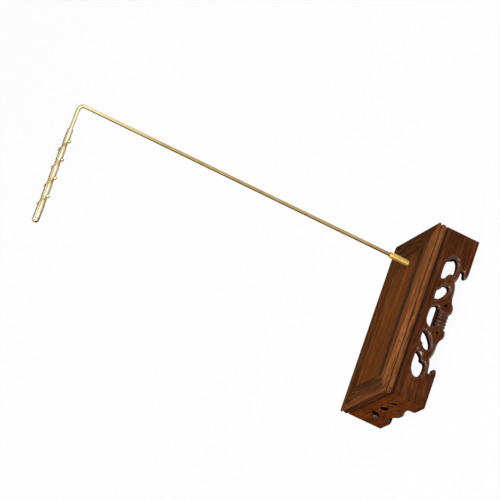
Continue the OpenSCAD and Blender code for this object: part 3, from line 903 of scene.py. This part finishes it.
def add_vine(bm, points, side):
    """A round rod along the arc through three points, on the right (1) or the left (-1) half."""
    first, through, last = (Vector((side * across, up)) for across, up in points)
    middle = arc_middle(first, through, last)
    outward = first - middle
    clockwise = outward.angle_signed(last - middle)
    turn = -clockwise % math.tau if side > 0 else -(clockwise % math.tau)
    depth = (VINE_R - VINE_RISE) * MM
    ring_x = Vector((outward.x, 0, outward.y)).normalized()
    ring = Matrix((ring_x, (0, 1, 0), ring_x.cross((0, 1, 0)))).transposed().to_4x4()
    place = Matrix.Translation((first.x * MM, depth, first.y * MM)) @ ring
    circle = bmesh.ops.create_circle(
        bm, cap_ends=True, radius=VINE_R * MM, segments=VINE_SIDES, matrix=place
    )
    faces = list({face for v in circle["verts"] for face in v.link_faces})
    turn_middle = (middle.x * MM, depth, middle.y * MM)
    bmesh.ops.spin(bm, geom=faces, cent=turn_middle, axis=(0, -1, 0), angle=turn, steps=VINE_STEPS)


def add_bud(bm, point, side):
    place = Matrix.Translation((side * point[0] * MM, (BUD_R - BUD_RISE) * MM, point[1] * MM))
    bmesh.ops.create_icosphere(bm, subdivisions=BUD_ROUNDS, radius=BUD_R * MM, matrix=place)


print("vines on a long board:", 2 * len(LONG_VINES), "and on an end board:", 2 * len(END_VINES))


# %% The barrel and its collars
RIB_COUNT = 6
RIB_GROOVE = 1.6
# One rib: shares of its width, and the share of the groove's depth that the wood drops there.
RIB_SHAPE = ((0, 1), (0.12, 0.55), (0.27, 0.12), (0.5, 0), (0.73, 0.12), (0.88, 0.55))
BARREL_SIDES = 48
COLLAR_R = 3.0
COLLAR_FLARE = 0.3
COLLAR_SIDES = 32
barrel_r = (BARREL_TOP - BARREL_BOTTOM) / 2
barrel_z = (BARREL_TOP + BARREL_BOTTOM) / 2


def add_barrel(bm):
    pitch = 2 * BARREL_HALF / RIB_COUNT
    profile = [(0, -BARREL_HALF)]
    for rib in range(RIB_COUNT):
        from_here = -BARREL_HALF + rib * pitch
        for share, drop in RIB_SHAPE:
            profile.append((barrel_r - drop * RIB_GROOVE, from_here + share * pitch))
    profile += [(barrel_r - RIB_GROOVE, BARREL_HALF), (0, BARREL_HALF)]
    lying = Matrix.Translation((0, BARREL_AXIS * MM, barrel_z * MM))
    barrel_bm = turned(profile, BARREL_SIDES, lying @ Matrix.Rotation(math.pi / 2, 4, "Y"))
    cut_plane(barrel_bm, (0, APRON_THICKNESS * MM, 0), (0, 1, 0))
    close_holes(barrel_bm)
    mesh = mesh_from(barrel_bm, "barrel")
    bm.from_mesh(mesh)
    bpy.data.meshes.remove(mesh)


def add_collar(bm, side):
    rise = VINE_RISE * MM
    depth = APRON_THICKNESS * MM / 2 + rise
    place = Matrix.Translation((side * COLLAR[0] * MM, depth / 2 - rise, COLLAR[1] * MM))
    bmesh.ops.create_cone(
        bm, cap_ends=True, segments=COLLAR_SIDES, radius1=(COLLAR_R + COLLAR_FLARE) * MM,
        radius2=COLLAR_R * MM, depth=depth, matrix=place @ Matrix.Rotation(math.pi / 2, 4, "X"),
    )


# %% One skin over all of it
VOXEL = 0.37 * MM
RUB = 0.5


def rubbed(bm, rounds, spared=0.0):
    """Smooths the skin; the ribs within the spared half-width are left crisp."""
    verts = [v for v in bm.verts if abs(v.co.x) > spared or v.co.z > BARREL_TOP * MM]
    for _ in range(rounds):
        bmesh.ops.smooth_vert(
            bm, verts=verts, factor=RUB, use_axis_x=True, use_axis_y=True, use_axis_z=True
        )
    return bm


def carved_skin(bm):
    made = scratch_object(bm)
    skin = made.modifiers.new("skin", "REMESH")
    skin.mode = "VOXEL"
    skin.voxel_size = VOXEL
    return rubbed(applied(made), rounds=2)


# %% Pared edges and drilled dots
LONG_PARED = {"cut": 1.3, "width": 2.1}
END_PARED = {"cut": 1.8, "width": 2.8}
PARED_WALL = 3.0
PARED_STEPS = 24
VINE_SHINE = 0.9
SHINY_REACH = 2.7
SHINY_FADE = 0.8
DOT_R = 1.25
DOT_DEPTH = 2.4
DOT_RIM = 0.25
DOT_SLOPE = 1.6


def pare_edges(bm, lower_edge, openings, cut, width):
    """Rounds the front edges of the openings: the nearer to an edge, the deeper the knife goes.

    The cloth that polishes the board rubs along these edges, so each point near one is marked as shiny.
    """
    edge = sawn(both_halves(lower_edge), closed=False, steps=PARED_STEPS)
    for opening in openings:
        edge += sawn(opening, closed=True, steps=PARED_STEPS)
    edge_points = KDTree(len(edge))
    for i, (across, up) in enumerate(edge):
        edge_points.insert((across, 0, up), i)
    edge_points.balance()
    shine = bm.verts.layers.float.new("shine")
    for vert in bm.verts:
        depth = vert.co.y / MM
        if depth < PARED_WALL:
            away = edge_points.find((vert.co.x / MM, 0, vert.co.z / MM))[2]
            nearness = max(0.0, 1 - away / width)
            vert.co.y += cut * nearness ** 2 * (1 - max(depth, 0.0) / PARED_WALL) * MM
            vert[shine] = VINE_SHINE * min(max((SHINY_REACH - away) / SHINY_FADE, 0.0), 1.0)


def drill_dot(bm, side):
    """Pushes the skin back round a collar's middle, as a drill leaves it."""
    for vert in bm.verts:
        away = math.hypot(vert.co.x - side * COLLAR[0] * MM, vert.co.z - COLLAR[1] * MM)
        if away < DOT_R * MM and vert.co.y < 0:
            share = min(1.0, DOT_SLOPE * (1 - away / (DOT_R * MM)) + DOT_RIM)
            vert.co.y += DOT_DEPTH * MM * share


# %% Trimmed edges, and marks for the painted shade and the polish
TRIM_WELD = 0.001 * MM
BACK_SKIN = 0.5
SHINY_DEPTH = 2.2
# Painted shade: the grooves between the ribs count this much deeper, so they are painted darker.
RIB_SHADE = 2.0
RIB_SHINE = 0.6
RIB_MARGIN = 0.3
RIB_REACH = 0.6


def trim(bm, half_length):
    """Cuts the spare wood off the top, the foot and the mitred ends, and closes the cuts."""
    planes = [((0, 0, frame_bottom), (0, 0, 1)), ((0, 0, 0), (0, 0, -1))]
    planes += [((side * half_length, 0, 0), (side, 1, 0)) for side in (-1, 1)]
    for place, normal in planes:
        cut_plane(bm, place, normal, dist=TRIM_WELD)
        close_holes(bm)


def mark_relief(bm, barrel):
    """Writes on each point how far it stands before the face, which sets the painted shade, and polishes
    the barrel's ribs; the grooves between the ribs count deeper, so they are painted darker.
    """
    relief = bm.verts.layers.float.new("relief")
    shine = bm.verts.layers.float["shine"]
    for vert in bm.verts:
        across, depth, up = vert.co / MM
        rise = -depth if depth < APRON_THICKNESS - BACK_SKIN else 0.0
        if rise < -SHINY_DEPTH:
            vert[shine] = 0.0
        if barrel and abs(across) < BARREL_HALF - RIB_MARGIN:
            from_axis = math.hypot(depth - BARREL_AXIS, up - barrel_z)
            if from_axis < barrel_r + RIB_REACH and depth < BARREL_AXIS:
                rise = RIB_SHADE * min(0.0, from_axis - barrel_r + RIB_MARGIN)
                vert[shine] = RIB_SHINE
        vert[relief] = rise


# %% Four carved boards
BARREL_LAP = 0.6


def barrel_space():
    """The room that the board leaves for the barrel."""
    space = bmesh.new()
    bmesh.ops.create_cube(space, size=1)
    middle = Matrix.Translation((0, APRON_THICKNESS / 2 * MM, BARREL_TOP / 2 * MM))
    width = 2 * (BARREL_HALF - BARREL_LAP) * MM
    return placed(space, middle @ Matrix.Diagonal((width, 3 * APRON_THICKNESS * MM, BARREL_TOP * MM, 1)))


def carved_board(half_length, set_back, lower_edge, openings, vines, pared, barrel):
    """A carved board at the front; the middle opening is the last one and is drawn as a half."""
    sawn_out = [outline for half in openings[:-1] for outline in (half, mirrored(half))]
    sawn_out.append(closed_outline(openings[-1]))
    board = pierced_board(half_length, lower_edge, sawn_out)
    if barrel:
        board = cut_away(board, barrel_space())
        add_barrel(board)
    for side in (-1, 1):
        for points in vines:
            add_vine(board, points, side)
        for bud in {point for points in vines for point in (points[0], points[2])}:
            add_bud(board, bud, side)
        if barrel:
            add_collar(board, side)
    board = carved_skin(board)
    pare_edges(board, lower_edge, sawn_out, **pared)
    rubbed(board, rounds=2, spared=BARREL_HALF * MM if barrel else 0.0)
    if barrel:
        for side in (-1, 1):
            drill_dot(board, side)
    trim(board, half_length)
    mark_relief(board, barrel)
    return placed(board, Matrix.Translation((0, -set_back, 0)))


long_board = {
    "half_length": apron_length / 2, "set_back": apron_width / 2, "lower_edge": LONG_LOWER_EDGE,
    "openings": [OUTER_OPENING, LEAF_OPENING, MIDDLE_HALF], "vines": LONG_VINES, "pared": LONG_PARED,
    "barrel": True,
}
end_board = {
    "half_length": apron_width / 2, "set_back": apron_length / 2, "lower_edge": END_LOWER_EDGE,
    "openings": [END_SIDE_OPENING, END_MIDDLE_HALF], "vines": END_VINES, "pared": END_PARED,
    "barrel": False,
}
boards = {
    "front_apron": (0, long_board, long_carved_wood), "back_apron": (2, long_board, long_carved_wood),
    "left_apron": (3, end_board, end_carved_wood), "right_apron": (1, end_board, end_carved_wood),
}
for node, (quarter, drawing, wood) in boards.items():
    board = on_side(carved_board(**drawing), quarter)
    make_piece(node + "_carved", board, wood, "stand", "carved_wood", node)

# %% [markdown]
# ## Inside the stand
# The battens, the corner blocks and the feathers across the mitres are plain sawn pieces that are seen
# only from below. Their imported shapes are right, so they only get a paler, unpolished wood.

# %% Finish for the inner pieces
inner_names = ["mast_batten", "cross_batten", "mitre_splines"] + [f"corner_block_{i}" for i in range(1, 5)]
for name in inner_names:
    finish_node(name, inner_wood)
print("inner pieces:", len(inner_names))

# %% [markdown]
# ## The mast
# The mast and its arm are one drawn rod with a tight bend. A disc is pulled up to the bend, spun through a
# quarter turn and pulled on into the bar, which keeps one clean tube with no joint.

# %% Mast rod
ROD_R = 1.5 * MM
BEND_R = 5.0 * MM
ROD_SIDES = 32
BEND_STEPS = 16
rod_low, rod_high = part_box("mast_rod")
arm_z = rod_high.z - ROD_R

bm = bmesh.new()
disc = bmesh.ops.create_circle(
    bm, cap_ends=True, radius=ROD_R, segments=ROD_SIDES, matrix=Matrix.Translation((mast_x, 0, rod_low.z))
)
foot_face = disc["verts"][0].link_faces[0]
bmesh.ops.duplicate(bm, geom=[foot_face])
end_faces = pulled(bm, [foot_face], (0, 0, arm_z - BEND_R - rod_low.z))
bend_middle = (mast_x - BEND_R, 0, arm_z - BEND_R)
bent = bmesh.ops.spin(
    bm, geom=end_faces, cent=bend_middle, axis=(0, -1, 0), angle=math.pi / 2, steps=BEND_STEPS
)
bmesh.ops.delete(bm, geom=end_faces, context="FACES_ONLY")
arm_faces = only(bmesh.types.BMFace, bent["geom_last"])
pulled(bm, arm_faces, (rod_low.x - (mast_x - BEND_R), 0, 0))
bmesh.ops.remove_doubles(bm, verts=bm.verts, dist=WELD)
make_piece("mast_rod_drawn", bm, rod_brass, "mast", "brass", "mast_rod")

# %% [markdown]
# ## The hanging bar
# The bar is turned on a lathe: it grows a little towards its tip, has a short neck where each pin passes
# through, and ends in a domed cap behind a thin dark ring. A lathe turns a section about an axis, and so
# does spin. The bores for the rod's end and the cap's spigot lie on that axis, so they are part of the
# section, and only the holes for the pins are cut afterwards.

# %% Bar section
BAR_START = 22.0
BAR_END = 101.8
BAR_START_R = 2.3
BAR_TIP_R = 2.9
NECK_LENGTH = 5.0
NECK_DEPTH = 0.3
TURNED_EDGE = 0.25
START_CHAMFER = 0.6
SOLDER = 0.03
ROD_SOCKET = 10.0
SPIGOT_R = 1.2
SPIGOT_LENGTH = 4.0
pin_boxes = [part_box(f"hang_pin_{i}") for i in range(1, 5)]
pin_places = [(mast_x - (low.x + high.x) / 2) / MM for low, high in pin_boxes]


def bar_r(at):
    return BAR_START_R + (BAR_TIP_R - BAR_START_R) * (at - BAR_START) / (BAR_END - BAR_START)


rod_bore_r = ROD_R / MM + SOLDER
spigot_bore_r = SPIGOT_R + SOLDER
bar_profile = [(0, BAR_START + ROD_SOCKET), (rod_bore_r, BAR_START + ROD_SOCKET), (rod_bore_r, BAR_START)]
bar_profile += [(BAR_START_R - START_CHAMFER, BAR_START), (BAR_START_R, BAR_START + START_CHAMFER)]
for pin in pin_places:
    low, high = pin - NECK_LENGTH / 2, pin + NECK_LENGTH / 2
    bar_profile += [(bar_r(low), low - TURNED_EDGE), (bar_r(low) - NECK_DEPTH, low)]
    bar_profile += [(bar_r(high) - NECK_DEPTH, high), (bar_r(high), high + TURNED_EDGE)]
spigot_end = BAR_END - SPIGOT_LENGTH
bar_profile += [(BAR_TIP_R, BAR_END - TURNED_EDGE), (BAR_TIP_R - TURNED_EDGE, BAR_END)]
bar_profile += [(spigot_bore_r, BAR_END), (spigot_bore_r, spigot_end), (0, spigot_end)]
along_arm = Matrix.Translation((mast_x, 0, arm_z)) @ Matrix.Rotation(-math.pi / 2, 4, "Y")

# %% Turn and drill the bar
BAR_SIDES = 44
PIN_R = 0.75
PIN_SIDES = 24
DRILL_REACH = 5.0
half_step = Matrix.Rotation(math.pi / BAR_SIDES, 4, "Z")
bar_bm = turned(bar_profile, BAR_SIDES, along_arm @ half_step)
drills = bmesh.new()
lying_across = Matrix.Rotation(math.pi / 2, 4, "X")
across_arm = [Matrix.Translation((mast_x - pin * MM, 0, arm_z)) @ lying_across for pin in pin_places]
for matrix in across_arm:
    add_drill(drills, (PIN_R + SOLDER) * MM, 2 * DRILL_REACH * MM, PIN_SIDES, matrix)
bar = make_piece("hanging_bar_turned", cut_away(bar_bm, drills), brass, "mast", "brass", "hanging_bar")
bar.data.materials.append(neck_brass)
for face in bar.data.polygons:
    along = (mast_x - face.center.x) / MM
    if any(abs(along - pin) < NECK_LENGTH / 2 for pin in pin_places):
        face.material_index = 1

# %% Domed cap
CAP_NECK = 0.8
CAP_TIP = 105.0
CAP_RIM = 0.1
CAP_SIDES = 40
RIM_TURN = 2
NEAR_POLE = 88
DOME_STEPS = 10
dome = CAP_TIP - BAR_END - CAP_NECK
dome_r = (BAR_TIP_R ** 2 + dome ** 2) / (2 * dome)
dome_start = math.degrees(math.asin((dome_r - dome) / dome_r))
cap_neck_r = BAR_TIP_R - 2 * NECK_DEPTH
cap_profile = [(0, spigot_end), (SPIGOT_R, spigot_end), (SPIGOT_R, BAR_END)]
cap_profile += [(cap_neck_r, BAR_END), (cap_neck_r, BAR_END + CAP_NECK)]
cap_profile += [(BAR_TIP_R - CAP_RIM, BAR_END + CAP_NECK)]
cap_profile += arc((0, CAP_TIP - dome_r), dome_r, dome_start + RIM_TURN, NEAR_POLE, DOME_STEPS)
cap_profile += [(0, CAP_TIP)]
cap_bm = turned(cap_profile, CAP_SIDES, along_arm)
make_piece("bar_cap_turned", cap_bm, brass, "mast", "brass", "bar_cap")

# %% [markdown]
# ## Pins and beads
# Four pins cross the bar. Each is turned in one with the ball on its front end, and a bored bead is put on
# behind once the pin is through. A small fillet at the ball's root is what a turning tool leaves.

# %% Pins and beads
BALL_R = 1.5
BALL_STEPS = 14
BALL_ROOT = -52
PIN_REACH = 11.5
PIN_CHAMFER = 0.15
ROOT_GAP = 0.1
FILLET = 0.08
FILLET_SHARE = 0.87
pin_profile = [(0, -PIN_REACH), (PIN_R - PIN_CHAMFER, -PIN_REACH), (PIN_R, -PIN_REACH + PIN_CHAMFER)]
pin_profile += [(PIN_R, PIN_REACH - BALL_R - ROOT_GAP)]
pin_profile += [(PIN_R + FILLET, PIN_REACH - BALL_R * FILLET_SHARE)]
pin_profile += arc((0, PIN_REACH), BALL_R, BALL_ROOT, NEAR_POLE, BALL_STEPS)
pin_profile += [(0, PIN_REACH + BALL_R)]
bore = PIN_R + SOLDER
bead_root = math.degrees(math.acos(bore / BALL_R))
bead_profile = [(0, -PIN_REACH - SOLDER), (bore, -PIN_REACH - SOLDER)]
bead_profile += arc((0, -PIN_REACH), BALL_R, bead_root, -NEAR_POLE, BALL_STEPS)
bead_profile += [(0, -PIN_REACH - BALL_R)]
kinds = {"hang_pin": ("turned", pin_profile), "pin_bead": ("bored", bead_profile)}
for i, matrix in enumerate(across_arm, start=1):
    for family, (kind, profile) in kinds.items():
        node = f"{family}_{i}"
        bm = turned(profile, PIN_SIDES, matrix)
        make_piece(f"{node}_{kind}", bm, neck_brass, "mast", "brass", node)

# %% [markdown]
# ## The socket
# A brass tube stands on the panel and takes the mast's end. Below the panel it is thinner, and a washer
# and a nut hold it to the batten. The tube's mouth is chamfered inside and out, so that the rod finds it.

# %% Socket tube
SOCKET_R = 2.5
SHANK_R = 2.2
BORE_R = 1.55
SOCKET_SIDES = 40
SHANK_CHAMFER = 0.3
FOOT_CHAMFER = 0.15
MOUTH_OUTSIDE = (0.3, 0.35)
MOUTH_INSIDE = (0.25, 0.3)
socket_low, socket_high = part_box("ferrule")
low, high, seat = socket_low.z / MM, socket_high.z / MM, stand_top / MM
plug_bottom = rod_low.z / MM
socket_profile = [(0, low), (SHANK_R - SHANK_CHAMFER, low), (SHANK_R, low + SHANK_CHAMFER)]
socket_profile += [(SHANK_R, seat), (SOCKET_R - FOOT_CHAMFER, seat), (SOCKET_R, seat + FOOT_CHAMFER)]
socket_profile += [(SOCKET_R, high - MOUTH_OUTSIDE[1]), (SOCKET_R - MOUTH_OUTSIDE[0], high)]
socket_profile += [(BORE_R + MOUTH_INSIDE[0], high), (BORE_R, high - MOUTH_INSIDE[1])]
socket_profile += [(BORE_R, plug_bottom), (0, plug_bottom)]
socket_bm = turned(socket_profile, SOCKET_SIDES, Matrix.Translation((mast_x, 0, 0)))
make_piece("ferrule_turned", socket_bm, satin_brass, "socket", "brass", "ferrule")
for name in ("ferrule_washer", "ferrule_nut"):
    finish_node(name, brass)

# %% [markdown]
# ## Floor and light
# The rack stands on a plain pale floor. To the camera and in reflections the floor glows nearly white, and
# the share of it that is lit like paper keeps the rack's soft shadow. Large soft panels stand at the front
# and the left, and another hangs above. A small warm lamp beside the camera gives the sparkle on the
# carving, and only reflections see it. The world adds an even light that is brightest overhead.

# %% Floor
FLOOR_HALF = 40.0
GLOW_SHARE = 0.95
WHITE = (1, 1, 1, 1)
PAPER = {"Base Color": (0.9, 0.9, 0.9, 1), "Roughness": 0.9, "Specular IOR Level": 0.1}


def flat_object(name, material, half_size, matrix):
    bm = bmesh.new()
    bmesh.ops.create_grid(bm, x_segments=1, y_segments=1, size=1)
    placed(bm, matrix @ Matrix.Diagonal((*half_size, 1, 1)))
    mesh = mesh_from(bm, name)
    mesh.materials.append(material)
    made = linked_object(name, mesh)
    return made


floor_material, tree, paper = new_material("pale_floor")
fill_sockets(tree, paper, PAPER)
glow = add_node(tree, "ShaderNodeEmission", {"Color": WHITE, "Strength": 1.0})
rays = add_node(tree, "ShaderNodeLightPath").outputs
seen = calculate(tree, "MAXIMUM", rays["Is Camera Ray"], rays["Is Glossy Ray"])
seen = calculate(tree, "MAXIMUM", seen, rays["Is Transmission Ray"])
glow_share = times(tree, seen, GLOW_SHARE)
blended = add_node(tree, "ShaderNodeMixShader", {0: glow_share, 1: paper.outputs[0], 2: glow.outputs[0]})
tree.links.new(blended.outputs[0], tree.nodes["Material Output"].inputs["Surface"])
flat_object("floor", floor_material, (FLOOR_HALF, FLOOR_HALF), Matrix())

# %% [markdown]
# Polished metal is only as lively as what it mirrors. Brown cards out of the picture give the bright mast
# its dark gold edges, as photographers do: two stand at the left, three lie on the floor and one hangs
# above. Only reflections see them, and they throw no shadow.

# %% Brown cards for the metal
CARD = {"Base Color": (0.22, 0.17, 0.1, 1), "Specular IOR Level": 0.0}
CARD_HEIGHT = 0.32
CARD_LIFT = 0.5 * MM
card_material, tree, card_shader = new_material("dark_card")
fill_sockets(tree, card_shader, CARD)


def add_card(name, half_size, matrix):
    """A card that is left to reflections alone."""
    card = flat_object(name, card_material, half_size, matrix)
    card.visible_camera = False
    card.visible_diffuse = False
    card.visible_shadow = False


def standing_card(name, start, end):
    """A card that stands on the floor between two points of the plan."""
    run = Vector(end) - Vector(start)
    middle = (Vector(start) + Vector(end)) / 2
    upright_card = Matrix.Rotation(math.atan2(run.y, run.x), 4, "Z") @ Matrix.Rotation(math.pi / 2, 4, "X")
    place = Matrix.Translation((middle.x, middle.y, CARD_HEIGHT / 2))
    add_card(name, (run.length / 2, CARD_HEIGHT / 2), place @ upright_card)


standing_card("card_left", start=(-0.42, 0.17), end=(0.0, 0.5))
standing_card("card_near", start=(-0.5, -0.16), end=(-0.42, 0.17))
# Each flat card has half its size, its place and its tilt in degrees.
flat_cards = {
    "card_low": ((0.3, 0.33), (-0.39, 0.18, CARD_LIFT), 0),
    "card_behind": ((0.26, 0.27), (0.17, 0.33, CARD_LIFT), 0),
    "card_front": ((0.06, 0.08), (0.14, -0.14, CARD_LIFT), 0),
    "card_above": ((0.5, 0.6), (0.35, 0.75, 0.95), 130),
}
for name, (half_size, place, tilt) in flat_cards.items():
    tilted = Matrix.Rotation(math.radians(tilt), 4, "X")
    add_card(name, half_size, Matrix.Translation(place) @ tilted)


# %% Lamps
STAND_AIM = (0, 0, 0.05)
MAST_AIM = (0, 0, 0.1)
SPARKLE_COLOR = (1.0, 0.8, 0.66)


def soft_lamp(name, place, aim, size, glare):
    """A rectangular lamp of this brightness; white paper that fills the view of it is 1."""
    data = bpy.data.lights.new(name, "AREA")
    data.shape = "RECTANGLE"
    data.size, data.size_y = size
    data.energy = glare * math.pi * size[0] * size[1]
    lamp = linked_object(name, data)
    lamp.location = place
    lamp.rotation_euler = (Vector(aim) - Vector(place)).to_track_quat("-Z", "Y").to_euler()
    lamp.visible_camera = False
    return lamp


soft_lamp("front_panel", place=(0.75, -1.75, 0.62), aim=MAST_AIM, size=(1.5, 1.2), glare=2.0)
sparkle = soft_lamp("sparkle", place=(-0.85, -1.36, 0.56), aim=STAND_AIM, size=(0.35, 0.35), glare=70)
sparkle.data.color = SPARKLE_COLOR
sparkle.visible_diffuse = False
soft_lamp("top_panel_lamp", place=(-0.2, -0.3, 1.5), aim=STAND_AIM, size=(1.2, 1.0), glare=2.2)
soft_lamp("left_panel", place=(-1.8, -0.4, 0.8), aim=STAND_AIM, size=(1.0, 1.0), glare=1.6)

# %% World
HORIZON, ZENITH = 0.2, 0.6
FULL_HEIGHT = 0.8
world = bpy.data.worlds.new("studio")
bpy.context.scene.world = world
world.use_nodes = True
tree = world.node_tree
direction = add_node(tree, "ShaderNodeTexCoord").outputs["Generated"]
height = add_node(tree, "ShaderNodeSeparateXYZ", {0: direction}).outputs["Z"]
sky = ramp(tree, height, 0.0, FULL_HEIGHT, HORIZON, ZENITH)
tree.links.new(sky, tree.nodes["Background"].inputs["Color"])
bpy.context.scene.view_settings.view_transform = "Standard"
print("lamps:", len(bpy.data.lights))
